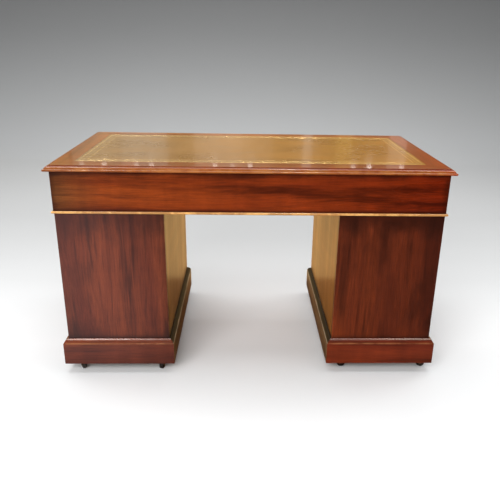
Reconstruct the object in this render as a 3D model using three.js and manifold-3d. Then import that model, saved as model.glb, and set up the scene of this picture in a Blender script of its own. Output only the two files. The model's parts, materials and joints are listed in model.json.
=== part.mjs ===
// A twin-pedestal writing desk: a leather-lined top section with three frieze drawers stands
// on two pedestals of three drawers each, and each pedestal stands on four swivel castors.
// Millimetres, +Z up, floor at z = 0. The drawers open towards +Y and the plain polished
// back faces -Y, so "left" and "right" are as seen from the back.
import * as THREE from "three";
import { mergeVertices } from "three/addons/utils/BufferGeometryUtils.js";
import Module from "manifold-3d";

const wasm = await Module();
wasm.setup();

// ---- Driving dimensions ----

const gap = 0.3; // between pieces that touch

const deskHeight = 780;
const top = { width: 1372, depth: 725, thickness: 19, border: 83, overhang: 17 };
const topEdge = { noseRadius: 4, flatInset: 20, step: 1.5 };
const coreTongue = { length: 8, height: 4.6, lift: 6 };
const leather = { recess: 1.5, thickness: 1.1 };

const frieze = { bottomZ: 615.5, board: 20, floor: 15, divider: 20 };
const bead = { height: 9, reach: 6 };

const kneehole = 600;
const pedestal = { inset: 2, side: 20, back: 18, shelf: 16, floor: 18, skirtZ: 58 };
const plinth = { bottomZ: 40, faceHeight: 83, mouldHeight: 15, reach: 17 };
const drawerHeights = { upper: 122, middle: 144 };

const housing = { depth: 6, stop: 12 }; // a shelf's tongue in a side, stopped short of the front
const drawer = { front: 20, side: 10, bottom: 6, length: 640, play: 1, drop: 3, lift: 0.4 };
const knob = { radius: 16, neck: 6, base: 10, length: 26, spacing: 0.25, segments: 12 };

const castor = { inset: 46, insetDeep: 56, trail: 20, blockZ: 54, blockSize: 56 };
const wheel = { radius: 16, halfWidth: 6.5, bore: 3.2, segments: 20 };
const horn = { cheek: 2.5, play: 0.8, bossRadius: 5.5, bridgeZ: 35, bridgeTopZ: 42, collarRadius: 10 };
const pin = { axleRadius: 2.5, pintleRadius: 4, holeRadius: 4.8, length: 24, segments: 12 };

// Which way each castor trails from its pintle, in degrees from +X.
const castorTrails = {
  left_back_outer: 300,
  left_back_inner: 255,
  left_front_outer: 230,
  left_front_inner: 285,
  right_back_outer: 338,
  right_back_inner: 340,
  right_front_outer: 320,
  right_front_inner: 355,
};

// ---- Derived places ----

const topHalfX = top.width / 2;
const topHalfY = top.depth / 2;
const topUnderZ = deskHeight - top.thickness;
const friezeHalfX = topHalfX - top.overhang;
const friezeHalfY = topHalfY - top.overhang;
const friezeTopZ = topUnderZ - gap;
const friezeFloorZ = frieze.bottomZ + frieze.floor;
const friezeBackY = -friezeHalfY + frieze.board;

const pedestalOuterX = friezeHalfX - pedestal.inset;
const pedestalInnerX = kneehole / 2;
const pedestalHalfY = friezeHalfY - pedestal.inset;
const pedestalBackY = -pedestalHalfY + pedestal.back;
const pedestalTopZ = frieze.bottomZ - gap;
const plinthTopZ = plinth.bottomZ + plinth.faceHeight + plinth.mouldHeight;
const cavity = { innerX: pedestalInnerX + pedestal.side, outerX: pedestalOuterX - pedestal.side };

// Shelves of a pedestal from the floor board up; the drawers fill the spaces between them.
const topBoardZ = pedestalTopZ - pedestal.shelf;
const upperRailZ = topBoardZ - drawerHeights.upper - pedestal.shelf;
const lowerRailZ = upperRailZ - drawerHeights.middle - pedestal.shelf;

// The knobs stand out past the top's front edge, so the desk moves back to centre its box.
const centreShift = (friezeHalfY + knob.length - topHalfY) / 2;

// ---- Materials ----

const finishes = {
  polishedMahogany: { color: 0x7a3317, roughness: 0.28, metalness: 0 },
  kneeholeMahogany: { color: 0xa8752f, roughness: 0.3, metalness: 0 },
  carcasePine: { color: 0xb98a55, roughness: 0.75, metalness: 0 },
  drawerOak: { color: 0xc09a66, roughness: 0.6, metalness: 0 },
  leather: { color: 0x9a7a35, roughness: 0.35, metalness: 0 },
  agedBrass: { color: 0x5a4526, roughness: 0.45, metalness: 0.85 },
  darkIron: { color: 0x1e1a18, roughness: 0.5, metalness: 0.6 },
};

// ---- Geometry helpers ----

function triangleSolid(geometry) {
  const bare = geometry.clone();
  bare.deleteAttribute("normal");
  bare.deleteAttribute("uv");
  const merged = mergeVertices(bare, 1e-4);
  const vertProperties = new Float32Array(merged.attributes.position.array);
  const triVerts = new Uint32Array(merged.index.array);
  return new wasm.Manifold(new wasm.Mesh({ numProp: 3, vertProperties, triVerts }));
}

function toGeometry(solid) {
  const mesh = solid.getMesh();
  const geometry = new THREE.BufferGeometry();
  geometry.setAttribute("position", new THREE.BufferAttribute(mesh.vertProperties, 3));
  geometry.setIndex(new THREE.BufferAttribute(mesh.triVerts, 1));
  return geometry;
}

function join(...geometries) {
  const [first, ...rest] = geometries.map(triangleSolid);
  return toGeometry(rest.reduce((solid, next) => solid.add(next), first));
}

function cut(body, ...tools) {
  const solid = triangleSolid(body);
  return toGeometry(tools.map(triangleSolid).reduce((left, tool) => left.subtract(tool), solid));
}

// A board between two values on each axis, given in either order.
function board([x0, x1], [y0, y1], [z0, z1]) {
  const geometry = new THREE.BoxGeometry(Math.abs(x1 - x0), Math.abs(y1 - y0), Math.abs(z1 - z0));
  return geometry.translate((x0 + x1) / 2, (y0 + y1) / 2, (z0 + z1) / 2);
}

// An upright round bar.
function uprightBar(radius, z0, z1, x = 0, y = 0) {
  const geometry = new THREE.CylinderGeometry(radius, radius, z1 - z0, pin.segments);
  return geometry.rotateX(Math.PI / 2).translate(x, y, (z0 + z1) / 2);
}

// A moulding mitred round a rectangle. The profile's points are [outwards, z], outwards from
// the rectangle's sides. A lathe of four segments is a square frame with mitred corners, and
// its corners then slide out to the rectangle.
function mouldedFrame(profile, halfX, halfY, centreX = 0) {
  const reach = 200;
  const outline = [...profile, profile[0]].map(
    ([out, z]) => new THREE.Vector2((reach + out) * Math.SQRT2, z),
  );
  const frame = new THREE.LatheGeometry(outline, 4, Math.PI / 4).rotateX(Math.PI / 2);
  const position = frame.attributes.position;
  for (let i = 0; i < position.count; i += 1) {
    const x = position.getX(i);
    const y = position.getY(i);
    position.setX(i, x + Math.sign(x) * (halfX - reach) + centreX);
    position.setY(i, y + Math.sign(y) * (halfY - reach));
  }
  return frame;
}

function curvePoints(curve, steps) {
  return curve.getPoints(steps).map((point) => [point.x, point.y]);
}

// ---- The scene graph ----

const desk = new THREE.Group();
desk.position.y = -centreShift;

function addPiece(name, geometry, finish, parent = desk) {
  const mesh = new THREE.Mesh(geometry, new THREE.MeshStandardMaterial(finishes[finish]));
  mesh.name = name;
  parent.add(mesh);
}

// ---- Top: mitred border with its edge moulding, core panel, inlaid leather ----

function topBorder() {
  const { noseRadius, flatInset, step } = topEdge;
  const noseZ = topUnderZ + noseRadius;
  const nose = new THREE.EllipseCurve(-noseRadius, noseZ, noseRadius, noseRadius, -Math.PI / 2, Math.PI / 2);
  const ovolo = new THREE.QuadraticBezierCurve(
    new THREE.Vector2(-noseRadius - step, noseZ + noseRadius),
    new THREE.Vector2(-noseRadius - 2 * step, deskHeight - 2 * step),
    new THREE.Vector2(-flatInset, deskHeight - step),
  );
  const grooveZ = topUnderZ + coreTongue.lift;
  const profile = [
    [-top.border, topUnderZ],
    ...curvePoints(nose, 6),
    ...curvePoints(ovolo, 5),
    [-flatInset, deskHeight],
    [-top.border, deskHeight],
    [-top.border, grooveZ + coreTongue.height],
    [-top.border + coreTongue.length, grooveZ + coreTongue.height],
    [-top.border + coreTongue.length, grooveZ],
    [-top.border, grooveZ],
  ];
  return mouldedFrame(profile, topHalfX, topHalfY);
}

function corePanel(halfX, halfY) {
  const panelX = halfX - gap;
  const panelY = halfY - gap;
  const tongueX = panelX + coreTongue.length;
  const tongueY = panelY + coreTongue.length;
  const tongueZ = topUnderZ + coreTongue.lift + gap;
  const tongueTopZ = tongueZ + coreTongue.height - 2 * gap;
  return join(
    board([-panelX, panelX], [-panelY, panelY], [topUnderZ, deskHeight - leather.recess]),
    board([-tongueX, tongueX], [-tongueY, tongueY], [tongueZ, tongueTopZ]),
  );
}

function addTop() {
  const halfX = topHalfX - top.border;
  const halfY = topHalfY - top.border;
  const skinX = halfX - gap;
  const skinY = halfY - gap;
  const skinZ = deskHeight - leather.recess + gap;
  addPiece("top_border", topBorder(), "polishedMahogany");
  addPiece("top_core_panel", corePanel(halfX, halfY), "carcasePine");
  addPiece(
    "top_leather",
    board([-skinX, skinX], [-skinY, skinY], [skinZ, skinZ + leather.thickness]),
    "leather",
  );
}

// ---- Housings: a shelf's tongues run in grooves in the two uprights ----

function housedShelf([x0, x1], [backY, frontY], [z0, z1]) {
  const tongue = housing.depth - gap;
  return join(
    board([x0 + gap, x1 - gap], [backY, frontY], [z0, z1]),
    board([x0 - tongue, x1 + tongue], [backY, frontY - housing.stop - gap], [z0, z1]),
  );
}

function housingGroove(faceX, intoX, [backY, frontY], [z0, z1]) {
  const overrun = 5;
  return board(
    [faceX - intoX * overrun, faceX + intoX * housing.depth],
    [backY - overrun, frontY - housing.stop],
    [z0 - gap, z1 + gap],
  );
}

// ---- Frieze: the shallow carcase under the top ----

function addFrieze() {
  const innerX = friezeHalfX - frieze.board;
  const sideBackY = friezeBackY + gap;
  const run = [sideBackY, friezeHalfY];
  const floorZ = [frieze.bottomZ, friezeFloorZ];
  addPiece(
    "frieze_back",
    board([-friezeHalfX, friezeHalfX], [-friezeHalfY, friezeBackY], [frieze.bottomZ, friezeTopZ]),
    "polishedMahogany",
  );
  for (const [name, side] of [["left", -1], ["right", 1]]) {
    const upright = board([side * innerX, side * friezeHalfX], run, [frieze.bottomZ, friezeTopZ]);
    const groove = housingGroove(side * innerX, side, run, floorZ);
    addPiece(`frieze_side_${name}`, cut(upright, groove), "polishedMahogany");
  }
  addFriezeFloor(innerX, run, floorZ);
}

// Each divider stands over a pedestal's inner side, on a tongue let into the floor board.
function addFriezeFloor(innerX, run, floorZ) {
  const [backY, frontY] = run;
  const stopY = frontY - housing.stop;
  const grooveZ = friezeFloorZ - housing.depth;
  const overrun = 5;
  const grooves = [];
  for (const [name, side] of [["left", -1], ["right", 1]]) {
    const x0 = side * pedestalInnerX;
    const x1 = side * (pedestalInnerX + frieze.divider);
    grooves.push(
      board([x0 - side * gap, x1 + side * gap], [backY - overrun, stopY], [grooveZ, friezeFloorZ + overrun]),
    );
    const divider = join(
      board([x0, x1], run, [friezeFloorZ + gap, friezeTopZ]),
      board([x0, x1], [backY, stopY - gap], [grooveZ + gap, friezeTopZ]),
    );
    addPiece(`frieze_divider_${name}`, divider, "carcasePine");
  }
  addPiece(
    "frieze_floor",
    cut(housedShelf([-innerX, innerX], run, floorZ), ...grooves),
    "polishedMahogany",
  );
}

// Half-round bead planted round the frieze's bottom edge.
function addBead() {
  const radius = bead.height / 2;
  const middleZ = frieze.bottomZ + radius;
  const round = new THREE.EllipseCurve(bead.reach - radius, middleZ, radius, radius, -Math.PI / 2, Math.PI / 2);
  const profile = [[gap, frieze.bottomZ], ...curvePoints(round, 6), [gap, frieze.bottomZ + bead.height]];
  addPiece("frieze_bead", mouldedFrame(profile, friezeHalfX, friezeHalfY), "polishedMahogany");
}

// ---- Pedestals ----

const shelves = {
  bottom_board: [plinthTopZ - pedestal.floor, plinthTopZ],
  lower_rail: [lowerRailZ, lowerRailZ + pedestal.shelf],
  upper_rail: [upperRailZ, upperRailZ + pedestal.shelf],
  top_board: [topBoardZ, pedestalTopZ],
};

function pedestalSide(side, faceX, outsideX, intoX) {
  const run = [pedestalBackY + gap, pedestalHalfY];
  const upright = board([side * faceX, side * outsideX], run, [pedestal.skirtZ, pedestalTopZ]);
  const grooves = Object.values(shelves).map((z) => housingGroove(side * faceX, side * intoX, run, z));
  return cut(upright, ...grooves);
}

function pedestalShelf(side, z) {
  const run = [pedestalBackY + gap, pedestalHalfY];
  const span = [side * cavity.innerX, side * cavity.outerX].sort((a, b) => a - b);
  return housedShelf(span, run, z);
}

// The bottom board carries a block in each corner, bored for a castor's pintle.
function bottomBoard(side) {
  const { blockSize, blockZ } = castor;
  const boardZ = shelves.bottom_board;
  const blockBackY = pedestalBackY + gap;
  const blocks = [];
  const holes = [];
  for (const [wallX, inX] of [[cavity.innerX + gap, 1], [cavity.outerX - gap, -1]]) {
    for (const [wallY, inY] of [[blockBackY, 1], [pedestalHalfY - gap, -1]]) {
      const xRange = [side * wallX, side * (wallX + inX * blockSize)];
      blocks.push(board(xRange, [wallY, wallY + inY * blockSize], [blockZ, boardZ[0] + 1]));
    }
  }
  for (const [x, y] of castorPlaces(side)) {
    holes.push(uprightBar(pin.holeRadius, blockZ - 5, blockZ + pin.length + 2, x, y));
  }
  return cut(join(pedestalShelf(side, boardZ), ...blocks), ...holes);
}

function plinthFrame(side) {
  const halfX = (pedestalOuterX - pedestalInnerX) / 2;
  const centreX = (side * (pedestalOuterX + pedestalInnerX)) / 2;
  const arrisZ = plinth.bottomZ + plinth.faceHeight;
  const moulding = new THREE.QuadraticBezierCurve(
    new THREE.Vector2(plinth.reach, arrisZ),
    new THREE.Vector2(plinth.reach * 0.74, arrisZ + plinth.mouldHeight * 0.74),
    new THREE.Vector2(2, plinthTopZ),
  );
  const profile = [
    [gap, plinth.bottomZ],
    [plinth.reach, plinth.bottomZ],
    ...curvePoints(moulding, 5),
    [gap, plinthTopZ],
  ];
  return mouldedFrame(profile, halfX, pedestalHalfY, centreX);
}

function addPedestal(name, side) {
  const outerX = [side * pedestalInnerX, side * pedestalOuterX];
  addPiece(
    `${name}_outer_side`,
    pedestalSide(side, cavity.outerX, pedestalOuterX, 1),
    "polishedMahogany",
  );
  addPiece(
    `${name}_inner_side`,
    pedestalSide(side, cavity.innerX, pedestalInnerX, -1),
    "kneeholeMahogany",
  );
  addPiece(
    `${name}_back`,
    board(outerX, [-pedestalHalfY, pedestalBackY], [pedestal.skirtZ, pedestalTopZ]),
    "polishedMahogany",
  );
  addPiece(`${name}_top_board`, pedestalShelf(side, shelves.top_board), "carcasePine");
  addPiece(`${name}_upper_rail`, pedestalShelf(side, shelves.upper_rail), "polishedMahogany");
  addPiece(`${name}_lower_rail`, pedestalShelf(side, shelves.lower_rail), "polishedMahogany");
  addPiece(`${name}_bottom_board`, bottomBoard(side), "carcasePine");
  addPiece(`${name}_plinth`, plinthFrame(side), "polishedMahogany");
}

// ---- Drawers: a mahogany front with two turned knobs, and an oak box behind it ----

function turnedKnob(x, y, z) {
  const { radius, neck, base, length } = knob;
  const profile = [
    [0, -1],
    [base, -1],
    [base, 1.5],
    [neck, 4],
    [neck + 1, length * 0.4],
    [radius - 1.5, length * 0.6],
    [radius, length * 0.74],
    [radius - 3, length * 0.9],
    [0, length],
  ];
  const outline = profile.map(([r, out]) => new THREE.Vector2(r, out));
  return new THREE.LatheGeometry(outline, knob.segments).translate(x, y, z);
}

// The drawer fills the space x0..x1, z0..z1 of a carcase whose front is at frontY.
function addDrawer(name, [x0, x1], [z0, z1], frontY) {
  const low = z0 + drawer.lift;
  const high = z1 - 2 * drawer.lift;
  const left = x0 + drawer.play;
  const right = x1 - drawer.play;
  const frontBackY = frontY - drawer.front;
  const boxFrontY = frontBackY - gap;
  const boxBackY = frontY - drawer.length;
  const boxTop = high - drawer.drop;
  const centreX = (left + right) / 2;
  const knobX = (right - left) * knob.spacing;
  const front = join(
    board([left, right], [frontBackY, frontY], [low, high]),
    turnedKnob(centreX - knobX, frontY, (low + high) / 2),
    turnedKnob(centreX + knobX, frontY, (low + high) / 2),
  );
  const box = cut(
    board([left, right], [boxBackY, boxFrontY], [low, boxTop]),
    board(
      [left + drawer.side, right - drawer.side],
      [boxBackY + drawer.side, boxFrontY - drawer.side],
      [low + drawer.bottom, boxTop + drawer.side],
    ),
  );
  addPiece(`${name}_front`, front, "polishedMahogany");
  addPiece(`${name}_box`, box, "drawerOak");
}

function addDrawers() {
  const friezeZ = [friezeFloorZ, friezeTopZ];
  const friezeInner = pedestalInnerX + frieze.divider;
  const friezeOuter = friezeHalfX - frieze.board;
  addDrawer("frieze_left_drawer", [-friezeOuter, -friezeInner], friezeZ, friezeHalfY);
  addDrawer("frieze_centre_drawer", [-pedestalInnerX, pedestalInnerX], friezeZ, friezeHalfY);
  addDrawer("frieze_right_drawer", [friezeInner, friezeOuter], friezeZ, friezeHalfY);
  for (const [name, side] of [["left", -1], ["right", 1]]) {
    const span = [side * cavity.innerX, side * cavity.outerX].sort((a, b) => a - b);
    const spaces = {
      upper: [shelves.upper_rail[1], shelves.top_board[0]],
      middle: [shelves.lower_rail[1], shelves.upper_rail[0]],
      lower: [shelves.bottom_board[1], shelves.lower_rail[0]],
    };
    for (const [level, z] of Object.entries(spaces)) {
      addDrawer(`${name}_${level}_drawer`, span, z, pedestalHalfY);
    }
  }
}

// ---- Castors: a horn that swivels on its pintle, and a wheel on the horn's axle ----

function castorPlaces(side) {
  const outerX = pedestalOuterX + plinth.reach - castor.inset;
  const innerX = pedestalInnerX - plinth.reach + castor.inset;
  const y = pedestalHalfY + plinth.reach - castor.insetDeep;
  return [[side * outerX, -y], [side * innerX, -y], [side * outerX, y], [side * innerX, y]];
}

// One cheek of the horn, seen from the side: it sweeps back from the pintle to the axle.
function hornCheek() {
  const { bossRadius, bridgeZ, bridgeTopZ } = horn;
  const shape = new THREE.Shape();
  shape.moveTo(-9, bridgeTopZ);
  shape.lineTo(-9, bridgeZ);
  shape.quadraticCurveTo(5, bridgeZ - 2, castor.trail - bossRadius, wheel.radius);
  shape.absarc(castor.trail, wheel.radius, bossRadius, Math.PI, 2 * Math.PI, false);
  shape.quadraticCurveTo(castor.trail + 8, bridgeZ, castor.trail + 2, bridgeTopZ);
  const options = { depth: horn.cheek, bevelEnabled: false, curveSegments: 5 };
  return new THREE.ExtrudeGeometry(shape, options).rotateX(Math.PI / 2);
}

function hornGeometry() {
  const innerY = wheel.halfWidth + horn.play;
  const outerY = innerY + horn.cheek;
  const collarTopZ = castor.blockZ - gap;
  const axle = new THREE.CylinderGeometry(pin.axleRadius, pin.axleRadius, 2 * outerY - 1, pin.segments);
  return join(
    hornCheek().translate(0, -innerY, 0),
    hornCheek().translate(0, outerY, 0),
    board([-9, castor.trail + 2], [-outerY, outerY], [horn.bridgeZ, horn.bridgeTopZ]),
    axle.translate(castor.trail, 0, wheel.radius),
    uprightBar(horn.collarRadius, horn.bridgeTopZ - 1, collarTopZ),
    uprightBar(pin.pintleRadius, collarTopZ - 1, castor.blockZ + pin.length),
  );
}

// The wheel stands on one of its flats, so its flats are as far from the axle as its radius.
function wheelGeometry() {
  const { halfWidth, bore, segments } = wheel;
  const halfStep = Math.PI / segments;
  const rim = wheel.radius / Math.cos(halfStep);
  const profile = [
    [bore, -halfWidth],
    [rim - 3, -halfWidth],
    [rim, -halfWidth + 3],
    [rim, halfWidth - 3],
    [rim - 3, halfWidth],
    [bore, halfWidth],
    [bore, -halfWidth],
  ];
  const outline = profile.map(([r, along]) => new THREE.Vector2(r, along));
  const geometry = new THREE.LatheGeometry(outline, segments, halfStep);
  return geometry.translate(castor.trail, 0, wheel.radius);
}

function addCastors(name, side) {
  const corners = ["back_outer", "back_inner", "front_outer", "front_inner"];
  castorPlaces(side).forEach(([x, y], index) => {
    const place = `${name}_${corners[index]}`;
    const castorGroup = new THREE.Group();
    castorGroup.position.set(x, y, 0);
    castorGroup.rotation.z = THREE.MathUtils.degToRad(castorTrails[place]);
    desk.add(castorGroup);
    addPiece(`${place}_castor_horn`, hornGeometry(), "agedBrass", castorGroup);
    addPiece(`${place}_castor_wheel`, wheelGeometry(), "darkIron", castorGroup);
  });
}

addTop();
addFrieze();
addBead();
for (const [name, side] of [["left", -1], ["right", 1]]) {
  addPedestal(name, side);
  addCastors(name, side);
}
addDrawers();

export default desk;
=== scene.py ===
import json
import math
import bmesh
import bpy
from mathutils import Matrix, Vector
from mathutils.geometry import interpolate_bezier

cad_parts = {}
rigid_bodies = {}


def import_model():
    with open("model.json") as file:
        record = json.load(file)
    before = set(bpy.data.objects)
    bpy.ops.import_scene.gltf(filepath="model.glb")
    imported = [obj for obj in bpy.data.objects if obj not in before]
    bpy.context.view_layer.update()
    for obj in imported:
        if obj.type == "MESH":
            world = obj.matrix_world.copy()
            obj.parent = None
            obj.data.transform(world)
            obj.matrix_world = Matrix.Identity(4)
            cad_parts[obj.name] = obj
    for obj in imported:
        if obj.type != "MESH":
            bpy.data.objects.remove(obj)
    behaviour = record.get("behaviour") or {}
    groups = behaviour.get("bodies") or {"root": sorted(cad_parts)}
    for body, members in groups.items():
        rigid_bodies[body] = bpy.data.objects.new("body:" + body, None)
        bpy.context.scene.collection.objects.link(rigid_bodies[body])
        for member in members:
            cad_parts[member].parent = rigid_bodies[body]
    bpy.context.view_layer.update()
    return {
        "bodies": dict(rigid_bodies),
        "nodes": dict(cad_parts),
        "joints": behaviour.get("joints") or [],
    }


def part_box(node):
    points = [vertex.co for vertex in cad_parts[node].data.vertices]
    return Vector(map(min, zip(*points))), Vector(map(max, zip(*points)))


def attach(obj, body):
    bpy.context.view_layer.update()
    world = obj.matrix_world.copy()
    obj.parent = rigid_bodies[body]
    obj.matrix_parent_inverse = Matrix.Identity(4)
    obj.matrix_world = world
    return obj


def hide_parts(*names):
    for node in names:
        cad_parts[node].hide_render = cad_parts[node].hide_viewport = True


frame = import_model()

mm = 0.001
scene = bpy.context.scene
print("frame loaded:", len(frame["nodes"]), "nodes")


# Camera, floor and light

cameraFacts = {
    "place": (-0.030, -2.200, 1.184),
    "yaw": -2.35,      # degrees, turning left
    "pitch": 20.6,     # degrees, looking down
    "roll": 1.13,
    "lens": 40.8,
    "shiftX": -0.030,
}

studio = {
    "halfWidth": 9.0,
    "floorFront": -5.0,
    "coveStart": 3.4,      # how far behind the desk the floor begins to rise
    "coveRadius": 1.3,
    "wallHeight": 2.2,
    "worldColour": (0.90, 0.97, 1.0, 1),
    "worldStrength": 0.2,
    "roomColour": (0.40, 0.28, 0.17, 1),     # painted reflection: the colour glossy rays see in the world beyond the paper
}

# How pale the paper is at distances along it, in metres from under the desk: a painted falloff
# of the light, darker away from the desk and up the wall.
paperFalloffTones = (
    (-0.15, 0.95), (0.05, 0.88), (0.28, 0.77), (0.5, 0.68), (0.8, 0.61), (1.15, 0.555), (1.6, 0.52),
    (2.6, 0.535), (3.5, 0.58), (4.1, 0.51), (4.6, 0.435), (5.3, 0.33), (5.9, 0.238), (6.4, 0.165),
)

# Painted reflection: glossy rays see the paper in these tones instead of its grey, so the polish
# reflects a dim surround that is not there: cool at the front left, dark at the front right,
# golden behind the kneehole and brown beyond.
paintedReflectionTones = {
    "frontLeft": (0.36, 0.39, 0.44, 1),
    "frontRight": (0.05, 0.028, 0.016, 1),
    "behind": (0.62, 0.38, 0.15, 1),
    "under": (0.20, 0.10, 0.04, 1),
    "wall": (0.40, 0.26, 0.10, 1),
}

# Where one tone gives way to the next: along Y in front, along Y behind, along the paper, and sideways.
paintedReflectionEdges = {
    "front": (-0.5, -0.3),
    "behind": (0.5, 0.56),
    "wall": (1.6, 3.2),
    "sideways": (-0.45, 0.05),
    "slant": -0.3,      # how much the sideways change leans along Y
}

softBoxes = [
    # name, place, aimed at, width, height, watts, colour
    ("overheadBox", (0, 0.3, 3.4), (0, 0.3, 0), 4.0, 2.8, 93, (0.985, 0.995, 1)),
    ("frontBox", (-1.1, -3.5, 2.5), (0, -0.3, 0.4), 3.0, 1.8, 130, (1, 1, 1)),
    ("leftBox", (-2.6, 0.9, 1.7), (0, 0.1, 0.4), 1.2, 1.2, 12, (1, 1, 1)),
    ("rightBox", (2.6, 0.9, 1.7), (0, 0.1, 0.4), 1.2, 1.2, 15, (1, 1, 1)),
    ("kneeholeBox", (0, 0.2, 0.6), (0, 0.3, 0), 0.36, 0.3, 0.65, (1, 0.99, 0.97)),
    ("rearFill", (0, 2.3, 3.2), (0, 0.3, 0.3), 3.0, 1.0, 9, (1, 0.99, 0.97)),
    ("paperWash", (0, 1.6, 3.3), (0, 4.8, 1.2), 9.0, 0.8, 110, (1, 1, 1)),
    ("mouldingBoxLeft", (-1.2, -0.8, 2.75), (-0.5, -0.36, 0.13), 0.4, 0.7, 22, (1, 0.94, 0.88)),
    ("mouldingBoxMiddle", (0.3, -0.85, 2.75), (0.15, -0.36, 0.78), 0.3, 0.4, 20, (1, 0.94, 0.84)),
    ("mouldingBoxRight", (1.42, -0.8, 2.75), (0.63, -0.36, 0.13), 0.4, 0.8, 17, (1, 0.88, 0.70)),
]

# Some boxes light the desk without showing in its polish, and some only glint in it.
unmirroredBoxes = ("frontBox", "kneeholeBox")
glintBoxes = ("mouldingBoxLeft", "mouldingBoxMiddle", "mouldingBoxRight")

# Panels behind the desk that only its polished top reflects: (x, width, radiance, colour).
rearPanels = (
    (-2.55, 1.3, 0.42, (1, 0.68, 0.28)),
    (-1.62, 0.5, 0.40, (0.96, 0.86, 0.62)),
    (-1.10, 0.5, 0.44, (0.86, 0.90, 0.82)),
    (-0.70, 0.28, 0.10, (1, 0.70, 0.26)),
    (-0.30, 0.52, 0.50, (1, 0.80, 0.62)),
    (0.12, 0.32, 0.30, (1, 0.76, 0.52)),
    (0.44, 0.32, 0.08, (1, 0.62, 0.16)),
    (0.655, 0.10, 0.70, (1, 0.93, 0.84)),
    (0.84, 0.26, 0.05, (1, 0.56, 0.12)),
    (1.01, 0.26, 0.46, (1, 0.70, 0.20)),
    (1.34, 0.40, 0.05, (1, 0.52, 0.12)),
    (1.64, 0.20, 0.62, (1, 0.80, 0.66)),
    (2.49, 1.52, 0.06, (1, 0.46, 0.16)),
)
panelFacts = {"y": 3.9, "low": 1.2, "high": 1.66, "upper": 2.2, "upperGain": 1.25}

# Small lamps whose reflections sparkle along the near border: (x, radiance).
rearSparks = (
    (-1.76, 2.6), (-1.52, 4.4), (-1.18, 3.0), (-1.02, 4.0), (-0.34, 4.4), (-0.15, 2.4), (0.04, 5.5),
    (1.16, 5.0), (1.335, 9.0), (1.69, 4.6),
)
sparkFacts = {"size": 0.05, "height": 1.70, "y": 3.85, "colour": (1, 0.93, 0.85)}


def makeCamera():
    facts = cameraFacts
    data = bpy.data.cameras.new("deskCamera")
    data.lens = facts["lens"]
    data.shift_x = facts["shiftX"]
    camera = bpy.data.objects.new("deskCamera", data)
    turn = Matrix.Rotation(math.radians(facts["yaw"]), 4, "Z")
    tilt = Matrix.Rotation(math.radians(90 - facts["pitch"]), 4, "X")
    roll = Matrix.Rotation(math.radians(facts["roll"]), 4, "Z")
    camera.matrix_world = Matrix.Translation(facts["place"]) @ turn @ tilt @ roll
    scene.collection.objects.link(camera)
    scene.camera = camera


def addSoftBox(name, place, aim, width, height, watts, colour):
    data = bpy.data.lights.new(name, "AREA")
    data.shape = "RECTANGLE"
    data.size = width
    data.size_y = height
    data.energy = watts
    data.color = colour
    light = bpy.data.objects.new(name, data)
    away = Vector(place) - Vector(aim)
    light.matrix_world = Matrix.Translation(place) @ away.to_track_quat("Z", "Y").to_matrix().to_4x4()
    light.visible_camera = False
    light.visible_glossy = name not in unmirroredBoxes
    light.visible_diffuse = name not in glintBoxes
    scene.collection.objects.link(light)


def makeLights():
    for box in softBoxes:
        addSoftBox(*box)
    facts = panelFacts
    bands = ((facts["low"], facts["high"], 1.0), (facts["high"], facts["upper"], facts["upperGain"]))
    for number, (x, width, radiance, colour) in enumerate(rearPanels):
        for band, (low, high, gain) in enumerate(bands):
            place = (x, facts["y"], (low + high) / 2)
            watts = radiance * gain * math.pi * width * (high - low)
            addSoftBox(f"rearPanel{number}{band}", place, (x, 0, place[2]), width, high - low, watts, colour)
    facts = sparkFacts
    size, height = facts["size"], facts["height"]
    for number, (x, radiance) in enumerate(rearSparks):
        watts = radiance * math.pi * size * size
        addSoftBox(
            f"rearSpark{number}", (x, facts["y"], height), (x, 0, height), size, size, watts, facts["colour"],
        )
    world = bpy.data.worlds.new("softRoom")
    world.use_nodes = True
    tree = world.node_tree
    # painted reflection: glossy rays see the world in the painted reflection colour
    glossy = addNode(tree, "ShaderNodeLightPath").outputs["Is Glossy Ray"]
    seen = mixColour(tree, glossy, studio["worldColour"], studio["roomColour"])
    background = tree.nodes["Background"]
    tree.links.new(seen, background.inputs["Color"])
    background.inputs["Strength"].default_value = studio["worldStrength"]
    scene.world = world
    scene.view_settings.view_transform = "Standard"


def makeBackdrop():
    facts = studio
    half = facts["halfWidth"]
    bm = bmesh.new()
    corners = [bm.verts.new((x, y, 0)) for x, y in (
        (-half, facts["floorFront"]), (half, facts["floorFront"]),
        (half, facts["coveStart"]), (-half, facts["coveStart"]),
    )]
    bm.faces.new(corners)
    farEdge = [edge for edge in bm.edges if all(v.co.y > facts["coveStart"] - 0.01 for v in edge.verts)]
    pivot = (0, facts["coveStart"], facts["coveRadius"])
    cove = bmesh.ops.spin(
        bm, geom=farEdge, cent=pivot, axis=(1, 0, 0), angle=math.radians(90), steps=24, use_merge=False,
    )
    topEdge = [item for item in cove["geom_last"] if isinstance(item, bmesh.types.BMEdge)]
    raised = bmesh.ops.extrude_edge_only(bm, edges=topEdge)
    risen = [item for item in raised["geom"] if isinstance(item, bmesh.types.BMVert)]
    bmesh.ops.translate(bm, verts=risen, vec=(0, 0, facts["wallHeight"] - facts["coveRadius"]))
    mesh = bpy.data.meshes.new("backdropPaper")
    bm.to_mesh(mesh)
    bm.free()
    mesh.shade_smooth()
    backdrop = bpy.data.objects.new("backdropPaper", mesh)
    scene.collection.objects.link(backdrop)
    mesh.materials.append(makePaper())
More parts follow.
